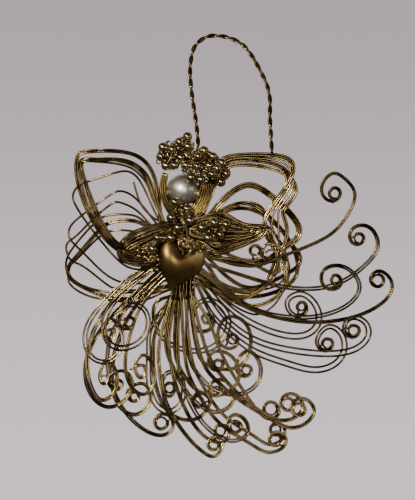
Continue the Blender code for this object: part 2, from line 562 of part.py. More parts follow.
def bead_string(name, centres):
    """Beads threaded on a wire, as one turned shape along their centres (metres, from the origin)."""
    centres = np.array(centres)
    radius = BEAD_DIAMETER / 2
    steps = np.diff(centres, axis=0)
    steps = steps / np.linalg.norm(steps, axis=1)[:, None]
    sections = [(centres[0] - steps[0] * radius, steps[0], BEAD_STRING_DIAMETER / 2)]
    for number, centre in enumerate(centres):
        heading = steps[max(number - 1, 0)] + steps[min(number, len(steps) - 1)]
        heading = heading / np.linalg.norm(heading)
        for shift, swell in BEAD_PROFILE:
            sections.append((centre + heading * radius * shift, heading, radius * swell))
        if number < len(steps):
            halfway = (centre + centres[number + 1]) / 2
            sections.append((halfway, steps[number], BEAD_STRING_DIAMETER / 2))
    sections.append((centres[-1] + steps[-1] * radius, steps[-1], BEAD_STRING_DIAMETER / 2))
    reference = np.array([0.0, -1.0, 0.0])
    rings = []
    for place, heading, size in sections:
        first = reference - heading * reference.dot(heading)
        first = first / np.linalg.norm(first)
        second = np.cross(heading, first)
        turns = [2 * math.pi * side / SIDES_OF_BEAD for side in range(SIDES_OF_BEAD)]
        rings.append([place + size * (first * math.cos(turn) + second * math.sin(turn)) for turn in turns])
        reference = first
    return closed_mesh(name, rings, "dark_glass_bead", crease=60)


def pearl(centre):
    """The round head."""
    mesh = bmesh.new()
    bmesh.ops.create_uvsphere(mesh, u_segments=12, v_segments=8, radius=PEARL_DIAMETER / 2)
    bmesh.ops.translate(mesh, verts=mesh.verts[:], vec=tuple(centre))
    data = bpy.data.meshes.new("head_pearl")
    mesh.to_mesh(data)
    mesh.free()
    data.shade_smooth()
    data.materials.append(finish_material("head_pearl", "silver_pearl"))
    item = bpy.data.objects.new("head_pearl", data)
    bpy.context.collection.objects.link(item)
    return item


def heart_outline(count):
    """A heart one unit wide and high, about the middle of its box."""
    points = []
    for number in range(count):
        turn = 2 * math.pi * number / count
        across = math.sin(turn) * abs(math.sin(turn))
        up = (13 * math.cos(turn) - 5 * math.cos(2 * turn) - 2 * math.cos(3 * turn) - math.cos(4 * turn)) / 16
        points.append((across / 2, (up + 0.15) * 16 / 29))
    return np.array(points)


def heart_charm(front_y):
    """The puffed heart with a thin edge, hung before the waist."""
    outline = heart_outline(22) * np.array([HEART_WIDTH, HEART_HEIGHT])
    turn = np.array([[math.cos(HEART_TILT), -math.sin(HEART_TILT)],
                     [math.sin(HEART_TILT), math.cos(HEART_TILT)]])
    middle = front_y - AIR - HEART_THICKNESS / 2
    centre = np.array(HEART_CENTRE) * GRID
    rings = []
    half_rim = HEART_RIM / 2
    domes = [(0.30, 1.0), (0.70, 0.76), (1.0, 0.0)]
    steps = [(-dome, high) for dome, high in domes]
    for dome, high in steps + [(dome, high) for dome, high in reversed(domes)]:
        side = -1 if dome < 0 else 1
        y = middle + side * (half_rim + (HEART_THICKNESS / 2 - half_rim) * high)
        points = (outline * abs(dome)) @ turn + centre
        rings.append(in_space(points, np.full(len(points), y)))
    return closed_mesh("heart_charm", rings, "antique_gold", crease=45)


def waist_binding(front_y, back_y):
    """The bound bundle of wires: as deep as the layers at the waist, slim at the neck."""
    rows = []
    for number in range(2 * WINDINGS + 1):
        share = number / (2 * WINDINGS)
        valley = 0.0 if number % 2 else WINDING_DEPTH
        rows.append((WAIST_BOTTOM + share * (WAIST_TOP - WAIST_BOTTOM), WAIST_WIDTH / 2 - valley,
                     front_y + valley, back_y - valley, WAIST_CORNER))
    pearl_foot = PEARL_CENTRE[1] - (PEARL_DIAMETER / 2 + AIR) / GRID
    for height in (WAIST_TOP + SHOULDER_HEIGHT, pearl_foot):
        rows.append((height, NECK_DIAMETER / 2, -HEAD_SET_FORWARD - NECK_DIAMETER / 2,
                     -HEAD_SET_FORWARD + NECK_DIAMETER / 2, NECK_DIAMETER * (1 - math.sqrt(0.5))))
    rings = []
    for height, half_width, front, back, corner in rows:
        half_depth = (back - front) / 2
        ring = []
        for side_x, side_y in ((1, 1), (-1, 1), (-1, -1), (1, -1)):
            corners = [(half_width, half_depth - corner), (half_width - corner, half_depth)]
            for x, y in corners if side_x * side_y > 0 else reversed(corners):
                place = np.array([[WAIST_X * GRID + side_x * x, height * GRID]])
                ring.append(in_space(place, np.array([(front + back) / 2 + side_y * y]))[0])
        rings.append(ring)
    return closed_mesh("waist_binding", rings, "fine_wire", crease=60)


def head_centre():
    """Middle of the pearl, set a little forward of the hanging loop."""
    return in_space(np.array([PEARL_CENTRE]) * GRID, np.array([-HEAD_SET_FORWARD]))[0]


def beads_about_head(offsets):
    """Bead centres given in bead diameters from the pearl's middle, kept as far off its surface."""
    centre = head_centre()
    places = []
    for offset in np.array(offsets):
        reach = np.linalg.norm(offset)
        distance = (reach - BEAD_TO_PEARL) * BEAD_DIAMETER + PEARL_DIAMETER / 2
        places.append(centre + offset / reach * distance)
    return places


def beads_on_sleeve(offsets, y):
    """Bead centres given in bead diameters from the waist's datum, at one depth."""
    points = np.array(offsets) * BEAD_DIAMETER
    return in_space(points, np.full(len(points), y))


def build():
    """Model every sub-part."""
    clear_scene()
    routes = wire_routes()
    layers = give_layers(routes)
    middle = layers[WING_AT_HANGER]
    for name, (points, widths) in routes.items():
        flat_wire(name, points, widths, layers[name] - middle)
    pitch = WIRE_DIAMETER + AIR
    front_y = -middle * pitch - WIRE_DIAMETER / 2
    back_y = (max(layers.values()) - middle) * pitch + WIRE_DIAMETER / 2
    waist_binding(front_y, back_y)
    twisted_hanger()
    pearl(head_centre())
    heart_charm(front_y)
    sleeve_back = front_y - AIR
    looped_sleeve("left_sleeve", LEFT_SLEEVE, LEFT_SLEEVE_MIDDLE, sleeve_back)
    looped_sleeve("right_sleeve", RIGHT_SLEEVE, RIGHT_SLEEVE_MIDDLE, sleeve_back)
    hair_back = -pitch - WIRE_DIAMETER / 2 - AIR
    wire_bundle("left_hair_wires", LEFT_HAIR, LEFT_HAIR_WIDTH, HAIR_DEPTH, hair_back, LEFT_HAIR_ENDS,
                "fine_wire", HAIR_RINGS)
    wire_bundle("right_hair_wires", RIGHT_HAIR, RIGHT_HAIR_WIDTH, HAIR_DEPTH, hair_back, RIGHT_HAIR_ENDS,
                "fine_wire", HAIR_RINGS)
    bead_string("halo_beads", beads_about_head(HALO_BEADS))
    bead_string("collar_beads", beads_about_head(COLLAR_BEADS))
    over_sleeve = sleeve_back - SLEEVE_DEPTH - AIR - BEAD_DIAMETER / 2
    bead_string("left_sleeve_beads", beads_on_sleeve(LEFT_SLEEVE_BEADS, over_sleeve))
    bead_string("right_sleeve_beads", beads_on_sleeve(RIGHT_SLEEVE_BEADS, over_sleeve))


build()
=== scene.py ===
"""Looks of the wire angel ornament: round wires doubled and curled, gilt beads, a pearl and a heart charm.

Every wire follows the rings of its own CAD node, so each piece sits where its node is. The frame's
+X is to the viewer's right, +Z is up and -Y faces the viewer, with the origin inside the hanging loop.
"""
import math
import random

import bmesh
import bpy
import numpy as np
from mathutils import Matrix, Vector


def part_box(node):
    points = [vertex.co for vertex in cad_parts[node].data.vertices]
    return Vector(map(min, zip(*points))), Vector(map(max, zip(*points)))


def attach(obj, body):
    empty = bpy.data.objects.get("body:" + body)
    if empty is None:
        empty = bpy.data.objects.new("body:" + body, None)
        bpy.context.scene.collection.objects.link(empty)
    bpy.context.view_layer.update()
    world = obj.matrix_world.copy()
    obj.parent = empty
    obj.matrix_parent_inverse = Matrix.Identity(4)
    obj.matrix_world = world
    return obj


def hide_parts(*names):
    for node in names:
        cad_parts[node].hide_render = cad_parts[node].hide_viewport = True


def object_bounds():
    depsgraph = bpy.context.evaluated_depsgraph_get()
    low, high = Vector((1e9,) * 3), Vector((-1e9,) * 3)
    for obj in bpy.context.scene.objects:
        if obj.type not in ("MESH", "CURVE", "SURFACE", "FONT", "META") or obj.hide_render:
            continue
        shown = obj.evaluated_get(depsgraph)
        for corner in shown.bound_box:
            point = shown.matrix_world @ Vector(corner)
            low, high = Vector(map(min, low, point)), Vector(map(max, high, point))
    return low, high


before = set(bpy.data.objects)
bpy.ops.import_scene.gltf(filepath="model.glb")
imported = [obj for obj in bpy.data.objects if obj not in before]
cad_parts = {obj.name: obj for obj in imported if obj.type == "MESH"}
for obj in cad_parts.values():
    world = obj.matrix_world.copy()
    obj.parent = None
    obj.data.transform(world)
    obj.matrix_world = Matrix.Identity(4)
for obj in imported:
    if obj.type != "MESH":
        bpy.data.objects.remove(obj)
cad_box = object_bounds()

# The photograph's scale in metres, and the pixels of the frame's origin and of the picture's middle
PIXEL = 0.0003
ORIGIN_PIXEL = (215.0, 38.3)
PHOTO_MIDDLE = (207.5, 250.0)
PHOTO_HEIGHT = 500

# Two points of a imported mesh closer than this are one, and faces whose normals agree this well are flat
SAME_POINT = 2e-6
FLAT = 0.99999

# Curves: samples for each point given, the fewest samples, and angles that a random shift is taken from
SAMPLES_A_POINT = 24
FEWEST_SAMPLES = 8
ANY_SHIFT = (0, 6)

# Wires, in metres, and the sides of a thick and a fine one
WIRE_RADIUS = 0.00035
STRAND_RADIUS = 0.00034
FINE_RADIUS = 0.00017
WINDING_RADIUS = 0.00023
HAIR_RADIUS = 0.00030
WIRE_STEP = 0.0004
WIRE_SIDES = 10
FINE_SIDES = 7

# Directions that no wire starts along, nor a bead's bore, nor the way from one bead to the next
TUBE_HINT = (0.3, 0.9, 0.2)
BEAD_HINT = (0.1, 0.2, 1.0)
WINDING_HINT = (0.2, 1.0, 0.1)

# Wires that lie side by side, from middle to middle in radii
WIRE_PITCH = 1.9

# A wire's rounded end: how far each ring lies beyond the last point, and how large it is, in radii
ROUND_END = ((1.0, 0.05), (0.85, 0.53), (0.5, 0.87))

# How far wires reach into the binding, and how near its middle a wire ends that comes back to it
ROOT_REACH = 0.0012
NEAR_WAIST = 0.02

# A wire's wander in depth: its size and length in metres, and the share and pace of each of its waves
DEPTH_WAVE = 0.00005
WAVE_LENGTH = 0.011
WAVES = ((0.7, 1.0), (0.3, 2.3))

# One turn of the hanger's twist, in metres
TWIST_LENGTH = 0.0070

# A doubled wire's strands lie nearer each other than its node is wide: gaps in metres, and shares of them
STRAND_GAPS = (0.0007, 0.0013)
STRAND_SHARES = (0.6, 1.0)
CLOSEST_STRANDS = 0.00042

# The eye at the end of a doubled wire: steps back from the end at which its circle is read, its fewest
# points, the degrees that its inner and outer strands turn, the lap of the inner one in radii, and how far
# each strand ends off the circle in metres
EYE_READ = (9, 5, 1)
EYE_POINTS = 12
INNER_TURN = (190, 250)
OUTER_TURN = (40, 110)
EYE_LAP = 2.1
INWARD_END = -0.0002
CUT_TAIL = 0.0009

# The last part of an eye's strand, one in so many, is the one that leaves the circle
TAIL_PART = 4

# Wires given the lighter copy of the brass, a painted highlight where the light catches them
PAINTED_HIGHLIGHT_NODES = ("tendril_left_2", "tendril_left_3", "tendril_centre_8", "tendril_hem_8", "wing_right_3",
                "wing_left_7")

# Wires between two doubled ones of a wing: how far across they lie, at even steps along them
LEFT_WING_BAND = [(0.35, 0.35, 0.30, 0.55, 1.25, 1.35, 1.10), (0.65, 0.65, 0.60, 0.95, 1.60, 1.65, 1.30)]
RIGHT_WING_BAND = [(0.30, 0.30, 0.35, 0.30, 0.30, 0.35, 0.30), (0.65, 0.65, 0.65, 0.60, 0.60, 0.65, 0.60)]

# Wires that lie over the foot of the binding: pixels of their tops and feet, and their depth in metres
APRON_TOPS = [(176, 268), (179, 267), (182, 266), (185, 265), (188, 265), (191, 264), (194, 264)]
APRON_FEET = [(172, 298), (175.5, 299), (179, 299), (182.5, 299), (186, 298), (190, 297), (194.5, 295)]
APRON_DEPTH = -0.0047

# A cut wire at the left wing: its pixels from the waist up, and its depth in metres
STUB_PIXELS = [(173.5, 228), (164, 224), (154, 218), (147, 212), (141, 204), (136.5, 192), (134, 183)]
STUB_DEPTH = -0.0015

# Hair: rows of wires, how far they swell over the pearl in metres and where along them that starts, the
# pearl's room, their wander and the gap between rows in radii, and the radians of one wander
HAIR_ROWS = 2
LEFT_HAIR_SWELL = 0.0009
RIGHT_HAIR_SWELL = 0.0013
HAIR_SWELL_START = 0.6
HAIR_ROOM = 1.2
HAIR_WANDER = 0.3
HAIR_ROW_GAP = 1.5
HAIR_WAVE = 5

# A sleeve's leaf: its ridges, then places from its middle out to its edge and heights there, as shares
SLEEVE_LOOPS = 3
SLEEVE_RIDGES = [(0.18, 1.0), (0.33, 0.78), (0.52, 1.0), (0.67, 0.78), (0.85, 1.0), (1.0, 0.6)]

# A sleeve's wires: layers, the gap between layers and each point's play in depth in radii, a loop's wander
# as a share of the room between loops, and the points that a loop laps over its own start
SLEEVE_LAYERS = 3
LAYER_GAP = 1.7
DEPTH_PLAY = 0.3
LOOP_WANDER = 0.25
LAPPED = 3

# The right sleeve is pinched above its far end: the pixels where that starts and ends, and by how much
PINCH_START = (233.0, 229.0)
PINCH_END = (270.0, 229.0)
PINCH_SHARE = 0.55

# Beads, in metres, then the rings and sides of one, and its bore's reach and narrowing as shares
BEAD_RADIUS = 0.0015
BEAD_HOLE = 0.0004
BEAD_RINGS = 15
BEAD_SIDES = 22
BORE_REACH = 0.7
BORE_SHARE = 0.9

# A bead string's node has four rings for each bead, and the third is the first one's widest
NODE_RINGS = 4
FIRST_WIDEST = 2

# Fine wire wound between two beads: turns and points, where along the gap, its reach in bead radii, and how
# much and how fast that reach wanders
WINDING_TURNS = 3
WINDING_POINTS = 46
WINDING_PLACES = (0.30, 0.70)
WINDING_REACH = 0.50
WINDING_WANDER = 0.18
WINDING_WAVE = 0.37

# Small loops of fine wire: turns and points, least and largest reach in bead radii, how much that swells
# and how fast, the loop's pitch either way in wire radii, and its wire's thickness as a share
LOOP_TURNS = 1.5
LOOP_POINTS = 26
LOOP_REACH = (0.35, 0.75)
LOOP_SWELL = 0.2
LOOP_SWELL_PACE = 0.5
LOOP_PITCH = 2
LOOP_THICKNESS = 1.15

# Loops that fill a bead string: how near two beads are and how far behind them loops lie in metres, loops
# for each two beads, where between them, and the spread in bead radii
TANGLE_REACH = 0.0062
TANGLE_BACK = 0.0009
LOOPS_A_GAP = 2
TANGLE_PLACES = (0.2, 0.8)
TANGLE_SPREAD = 0.25

# Heaps of small loops, gold or dark; the dark ones are plain brass loops put where shade falls between the
# wires,
# a painted shade: pixels of a line through each, its depth and spread in metres, and its number of loops.
# A heap is flatter in depth by a share.
HEAPS = [
    ("waist_tangle", "gold", [(176, 233), (184, 240), (186, 248), (194, 246), (202, 246)],
     -0.0086, 0.0006, 54),
    ("neck_tangle", "gold", [(180, 208), (183, 216), (186, 226), (184, 234)], -0.0058, 0.0006, 26),
    ("neck_shade", "dark", [(176, 203), (178, 212), (178, 224), (183, 234)], -0.0046, 0.0007, 34),
    ("halo_tangle", "gold", [(168, 151), (182, 150), (192, 160), (206, 163), (218, 172)],
     -0.0030, 0.0011, 70),
    ("halo_shade", "dark", [(165, 152), (178, 157), (190, 158), (201, 166), (212, 172), (218, 179)],
     -0.0016, 0.0011, 120),
    ("left_sleeve_heap", "gold", [(141, 251), (144, 257), (150, 260), (156, 258)], -0.0082, 0.0006, 30),
    ("left_sleeve_shade", "dark", [(157, 244), (158, 250), (156, 260), (160, 266)], -0.0050, 0.0005, 34),
    ("right_sleeve_shade", "dark", [(214, 232), (222, 233), (232, 235)], -0.0050, 0.0004, 24),
]
HEAP_FLATNESS = (1, 0.5, 1)

# The pearl's sides and rings, and the angle of its first ring from its pole
PEARL_SIDES = 64
PEARL_RINGS = 48
PEARL_POLE = 0.06

# The heart: sizes, rim and crest in metres, and its tilt
HEART_WIDTH = 0.0140
HEART_HEIGHT = 0.0148
HEART_RIM = 0.0010
HEART_CREST = (-0.0039, 0.0020)
HEART_CREST_REACH = 0.0060
HEART_TILT = math.radians(18)

# The heart's outline: its cosine waves, and its rise, width and height in their units
HEART_WAVES = (13, -5, -2, -1)
HEART_UNIT = 16
HEART_RISE = 0.15
HEART_SPAN = 29
HEART_POINTS = 96

# The heart's swell: how steeply it rises, its waves, poles and fit, and its rings from near the middle out
HEART_PUFF = 0.5
HEART_FIT = 1e-8
HEART_TERMS = 12
HEART_POLES = (0.03, 0.08, 0.2, 0.5)
HEART_RINGS = 26
HEART_MIDDLE = 0.02

# The binding: its windings' pitch in radii, points a turn, its core's sides, and how round its corners are
BINDING_PITCH = 2.1
BINDING_POINTS = 28
BINDING_SIDES = 32
BINDING_ROUNDNESS = 0.45

# Metals: their coat, where in the patches their three tones lie, the detail of patches and grain, and the
# grain's depth in metres; drawn wire has a coarser grain that hardly stands out
COAT_ROUGHNESS = 0.12
TONE_PLACES = (0.32, 0.5, 0.68)
PATCH_DETAIL = 4
GRAIN_DETAIL = 3
GRAIN_DEPTH = 0.00003
DRAWN = {"grain": 900.0, "bump": 0.03}

# Stage: the surround's colours and the height over which they blend, and the floor's place, size and look
BACKDROP_TOP = (0.53, 0.46, 0.495)
BACKDROP_FOOT = (0.95, 0.85, 0.88)
BACKDROP_SPAN = 0.08
FLOOR_DROP = 0.20
FLOOR_RADIUS = 2.0
FLOOR_SIDES = 96
FLOOR_FADE_START = 0.5
FLOOR_TONE = (0.93, 0.93, 0.93)
FLOOR_ROUGHNESS = 0.9
FLOOR_SHINE = 0.1

# What metal mirrors, from the viewer's side round to the far side: places and colours
MIRRORED = ((0.0, (0.075, 0.064, 0.048)), (0.55, (0.095, 0.082, 0.062)), (0.70, (0.36, 0.325, 0.30)),
            (1.0, (0.95, 0.88, 0.84)))

# Soft boxes: names, places from the figure's middle and sizes in metres, power in watts, and colours
LAMPS = [("front_box", (0.10, -1.0, 0.08), 0.26, 1.45, (1.0, 0.97, 0.94)),
         ("key_box", (-0.32, -0.9, 0.30), 0.14, 5.4, (1.0, 0.95, 0.85)),
         ("left_box", (-0.8, -0.6, 0.5), 0.5, 0.9, (1.0, 0.93, 0.82)),
         ("right_box", (0.9, -0.5, 0.2), 0.4, 0.5, (1.0, 0.95, 0.88))]
CAMERA_DISTANCE = 1.0

# The colour sockets of a mixing node, whose names its other kinds share
MIX_LOW = 6
MIX_HIGH = 7
MIX_RESULT = 2


def at_pixel(u, v, y):
    """The point of the frame that a pixel of the photograph shows, at a depth."""
    return np.array([(u - ORIGIN_PIXEL[0]) * PIXEL, y, (ORIGIN_PIXEL[1] - v) * PIXEL])


def middle_of(node):
    """The middle of a CAD node's box."""
    low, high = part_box(node)
    return np.array((low + high) / 2)


def size_of(node):
    """The size of a CAD node's box."""
    low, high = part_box(node)
    return high - low


WAIST = middle_of("waist_binding")
HEAD = middle_of("head_pearl")
PEARL_RADIUS = size_of("head_pearl")[2] / 2


# Reading the frame

def merged_mesh(node):
    """A CAD node's mesh with points that coincide made one, and the depth of its flat back."""
    mesh = bmesh.new()
    mesh.from_mesh(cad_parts[node].data)
    bmesh.ops.remove_doubles(mesh, verts=mesh.verts[:], dist=SAME_POINT)
    mesh.normal_update()
    return mesh, max(point.co.y for point in mesh.verts) - SAME_POINT


def flat_groups(mesh):
    """The corners of each group of neighbouring faces that lie in one plane."""
    left = set(mesh.faces)
    groups = []
    while left:
        waiting = [left.pop()]
        corners = set()
        while waiting:
            face = waiting.pop()
            corners.update(face.verts)
            for edge in face.edges:
                for other in edge.link_faces:
                    if other in left and other.normal.dot(face.normal) > FLAT:
                        left.remove(other)
                        waiting.append(other)
        groups.append(corners)
    return groups


def layers_from(start, left_out=frozenset()):
    """The mesh's points in layers, each one edge further from the first."""
    layers = [start - left_out]
    seen = start | left_out
    while layers[-1]:
        following = {edge.other_vert(point) for point in layers[-1] for edge in point.link_edges} - seen
        seen |= following
        layers.append(following)
    return layers[:-1]


def rings_of(node, near, flat_back=False):
    """The rings of points that a swept node is skinned over, from its end nearest a place.

    The points of a flat back are left out, as its faces may join rings that lie far apart.
    """
    mesh, back = merged_mesh(node)
    left_out = {point for point in mesh.verts if flat_back and point.co.y > back}
    found = []
    for corners in flat_groups(mesh):
        layers = layers_from(corners, left_out)
        if len(layers) > 2 and all(len(layer) == len(layers[0]) for layer in layers):
            found.append([np.array([point.co for point in layer]) for layer in layers])
    mesh.free()
    return min(found, key=lambda rings: np.linalg.norm(rings[0].mean(0) - np.array(near)))


def in_order(layer):
    """Points of one layer from its far tip downwards, each joined by an edge to the one before it."""
    left = set(layer)
    point = max(left, key=lambda other: abs(other.co.x - WAIST[0]))
    walk = []
    while point is not None:
        walk.append(np.array(point.co))
        left.remove(point)
        beside = [edge.other_vert(point) for edge in point.link_edges if edge.other_vert(point) in left]
        point = min(beside, key=lambda other: other.co.z) if len(walk) == 1 else next(iter(beside), None)
    return np.array(walk)


def loops_of(node):
    """The outer edge of a ridged sleeve and its innermost valley."""
    mesh, back = merged_mesh(node)
    on_back = {point for point in mesh.verts if point.co.y > back}
    _, outer, *_, valley, _ = layers_from(on_back)
    loops = in_order(outer), in_order(valley)
    mesh.free()
    return loops


def widest(ring):
    """The largest distance between two points of a ring, seen from the front."""
    flat = ring[:, [0, 2]]
    return np.linalg.norm(flat[:, None] - flat[None], axis=2).max()


# Curves and skins

def unit(vector):
    """A vector's direction."""
    return vector / np.linalg.norm(vector)


def square_to(way, hint):
    """Two unit vectors square to a direction and to each other."""
    first = unit(np.cross(way, hint))
    return first, np.cross(way, first)


def even_turns(count):
    """Angles at even steps round a full turn."""
    return math.tau * np.arange(count) / count


def circle(turns, first, second):
    """Points of a unit circle between two directions, at some angles."""
    return np.outer(np.cos(turns), first) + np.outer(np.sin(turns), second)


def read_at(wanted, places, rows):
    """Rows known at some places, read at others."""
    return np.column_stack([np.interp(wanted, places, column) for column in rows.T])


def spline(points):
    """A natural cubic spline through points of any dimension, sampled at even steps along it.

    Its knots are as far apart as the roots of the gaps, which keeps it from swinging out at short ones.
    """
    points = np.asarray(points, float)
    gaps = np.sqrt(np.linalg.norm(np.diff(points[:, :3], axis=0), axis=1))
    knots = np.r_[0, np.cumsum(gaps)]
    count = len(points)
    system = np.eye(count)
    right = np.zeros_like(points)
    slopes = np.diff(points, axis=0) / gaps[:, None]
    for row in range(1, count - 1):
        system[row, row - 1:row + 2] = gaps[row - 1], 2 * (gaps[row - 1] + gaps[row]), gaps[row]
        right[row] = 6 * (slopes[row] - slopes[row - 1])
    bends = np.linalg.solve(system, right)
    fine = np.linspace(0, knots[-1], SAMPLES_A_POINT * count)
    part = np.clip(np.searchsorted(knots, fine, side="right") - 1, 0, count - 2)
    gap = gaps[part][:, None]
    before = (knots[part + 1] - fine)[:, None] / gap
    after = 1 - before
    curve = before * points[part] + after * points[part + 1]
    curve += ((before ** 3 - before) * bends[part] + (after ** 3 - after) * bends[part + 1]) * gap ** 2 / 6
    along = np.r_[0, np.cumsum(np.linalg.norm(np.diff(curve[:, :3], axis=0), axis=1))]
    wanted = np.linspace(0, along[-1], max(FEWEST_SAMPLES, round(along[-1] / WIRE_STEP)))
    return read_at(wanted, along, curve)


def skin(rings):
    """Points and faces of a closed surface over rings of as many points each."""
    rows, sides = len(rings), len(rings[0])
    points = np.reshape(rings, (rows * sides, 3))
    faces = []
    for row in range(rows - 1):
        for side in range(sides):
            after = (side + 1) % sides
            faces.append((row * sides + side, row * sides + after,
                          (row + 1) * sides + after, (row + 1) * sides + side))
    faces.append(tuple(range(sides))[::-1])
    faces.append(tuple(range((rows - 1) * sides, rows * sides)))
    return points, faces


def tube(path, radius, sides=WIRE_SIDES):
    """Points and faces of a round wire along a path, with rounded ends."""
    path = np.asarray(path, float)
    first = unit(path[0] - path[1])
    last = unit(path[-1] - path[-2])
    start = [path[0] + first * radius * reach for reach, _ in ROUND_END]
    end = [path[-1] + last * radius * reach for reach, _ in ROUND_END[::-1]]
    ring_sizes = [radius * size for _, size in ROUND_END]
    radii = np.r_[ring_sizes, np.full(len(path) - 2, radius), ring_sizes[::-1]]
    path = np.vstack([start, path[1:-1], end])
    tangents = np.gradient(path, axis=0)
    tangents = tangents / np.linalg.norm(tangents, axis=1)[:, None]
    normal = np.cross(tangents[0], TUBE_HINT)
    turns = even_turns(sides)
    rings = []
    for middle, tangent, size in zip(path, tangents, radii):
        normal = unit(normal - tangent * normal.dot(tangent))
        rings.append(middle + size * circle(turns, normal, np.cross(tangent, normal)))
    return skin(rings)


def piece(name, parts, finish, nodes=()):
    """One named piece made of parts, each its points and faces, that rides on the body."""
    points = []
    faces = []
    for part_points, part_faces in parts:
        start = len(points)
        points.extend(map(tuple, part_points))
        faces.extend(tuple(start + corner for corner in face) for face in part_faces)
    data = bpy.data.meshes.new(name)
    data.from_pydata(points, [], faces)
    mesh = bmesh.new()
    mesh.from_mesh(data)
    bmesh.ops.recalc_face_normals(mesh, faces=mesh.faces[:])
    mesh.to_mesh(data)
    mesh.free()
    data.shade_smooth()
    data.materials.append(finish)
    item = bpy.data.objects.new(name, data)
    bpy.context.collection.objects.link(item)
    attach(item, "root")
    if nodes:
        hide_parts(*nodes)


# Materials

def set_values(node, values):
    """Sets some of a shader node's inputs."""
    for name, value in values.items():
        node.inputs[name].default_value = value


def colour_ramp(tree, stops):
    """A colour ramp with a colour at each of three or more places."""
    ramp = tree.nodes.new("ShaderNodeValToRGB")
    elements = ramp.color_ramp.elements
    for element, (place, colour) in zip((elements[0], elements[1]), (stops[0], stops[-1])):
        element.position = place
        element.color = (*colour, 1)
    for place, colour in stops[1:-1]:
        elements.new(place).color = (*colour, 1)
    return ramp


def metal(name, tones, roughness, edge=(1, 1, 1), patina=260.0, grain=2600.0, bump=0.15, coat=0.0):
    """A worn metal: its tones drift in patches, its gloss varies and its skin has a fine grain."""
    material = bpy.data.materials.new(name)
    material.use_nodes = True
    tree = material.node_tree
    links = tree.links
    shader = tree.nodes["Principled BSDF"]
    set_values(shader, {"Metallic": 1, "Specular Tint": (*edge, 1), "Coat Weight": coat,
                        "Coat Roughness": COAT_ROUGHNESS})
    place = tree.nodes.new("ShaderNodeTexCoord")
    patches = tree.nodes.new("ShaderNodeTexNoise")
    set_values(patches, {"Scale": patina, "Detail": PATCH_DETAIL})
    links.new(place.outputs["Object"], patches.inputs["Vector"])
    ramp = colour_ramp(tree, list(zip(TONE_PLACES, tones)))
    links.new(patches.outputs["Fac"], ramp.inputs["Fac"])
    links.new(ramp.outputs["Color"], shader.inputs["Base Color"])
    gloss = tree.nodes.new("ShaderNodeMapRange")
    set_values(gloss, {"To Min": roughness[0], "To Max": roughness[1]})
    links.new(patches.outputs["Fac"], gloss.inputs["Value"])
    links.new(gloss.outputs["Result"], shader.inputs["Roughness"])
    grains = tree.nodes.new("ShaderNodeTexNoise")
    set_values(grains, {"Scale": grain, "Detail": GRAIN_DETAIL})
    links.new(place.outputs["Object"], grains.inputs["Vector"])
    relief = tree.nodes.new("ShaderNodeBump")
    set_values(relief, {"Strength": bump, "Distance": GRAIN_DEPTH})
    links.new(grains.outputs["Fac"], relief.inputs["Height"])
    links.new(relief.outputs["Normal"], shader.inputs["Normal"])
    return material


WIRE = metal("brass_wire", ((0.12, 0.081, 0.031), (0.18, 0.126, 0.052), (0.31, 0.227, 0.102)),
             (0.11, 0.15), edge=(0.10, 0.08, 0.05), patina=120.0, **DRAWN)
# Painted highlight: a lighter copy of the brass for the wires that catch the light
PAINTED_HIGHLIGHT_WIRE = metal("brass_wire_painted_highlight", ((0.13, 0.09, 0.035), (0.34, 0.25, 0.11), (0.66, 0.53, 0.27)),
                    (0.11, 0.15), edge=(0.15, 0.12, 0.07), patina=90.0, **DRAWN)
# Painted shade: a darker copy of the brass for wires that lie in shade, at the skirt's right and in the
# left sleeve
PAINTED_SHADE_WIRE = metal("brass_wire_painted_shade", ((0.055, 0.037, 0.015), (0.085, 0.059, 0.025), (0.15, 0.108, 0.048)),
                  (0.15, 0.20), edge=(0.10, 0.08, 0.05), patina=120.0, **DRAWN)
GOLD_WIRE = metal("gold_wire", ((0.12, 0.078, 0.024), (0.22, 0.15, 0.05), (0.40, 0.29, 0.12)),
                  (0.12, 0.20), edge=(0.2, 0.15, 0.08), **DRAWN)
FINE_WIRE = metal("copper_gold_wire", ((0.26, 0.165, 0.07), (0.46, 0.34, 0.16), (0.80, 0.66, 0.40)),
                  (0.12, 0.24), edge=(0.3, 0.2, 0.1))
BINDING_WIRE = metal("bronze_wire", ((0.10, 0.06, 0.022), (0.20, 0.13, 0.045), (0.38, 0.27, 0.11)),
                     (0.18, 0.30), edge=(0.2, 0.14, 0.07))
BEAD = metal("gilt_bead", ((0.28, 0.24, 0.13), (0.40, 0.35, 0.20), (0.54, 0.48, 0.30)),
             (0.08, 0.13), patina=300.0, bump=0.04)
PEARL = metal("silver_pearl", ((0.76, 0.75, 0.73), (0.84, 0.83, 0.81), (0.92, 0.91, 0.89)),
              (0.36, 0.40), bump=0.05, coat=0.3)
CHARM = metal("antique_gold", ((0.14, 0.087, 0.030), (0.175, 0.111, 0.039), (0.23, 0.153, 0.058)),
              (0.25, 0.31), edge=(0.3, 0.22, 0.12), patina=330.0, bump=0.12)
# The dark heaps use the common brass, heaped where shade falls, as painted shade
HEAP_FINISHES = {"gold": FINE_WIRE, "dark": WIRE}


# Wires of the wings and the skirt

def finish_of(node):
    """A wire's brass: the lighter copy as painted highlight, the darker copy as painted shade at the
    skirt's right, or the common one.
    """
    if node in PAINTED_HIGHLIGHT_NODES:
        return PAINTED_HIGHLIGHT_WIRE
    return PAINTED_SHADE_WIRE if node.startswith("tendril_right") else WIRE


def wave_of(name, length):
    """A slow, small wander in depth along a wire, of its own for each wire."""
    chance = random.Random(name)
    turns = math.tau * length / WAVE_LENGTH
    return DEPTH_WAVE * sum(share * np.sin(pace * turns + chance.uniform(0, math.tau))
                            for share, pace in WAVES)


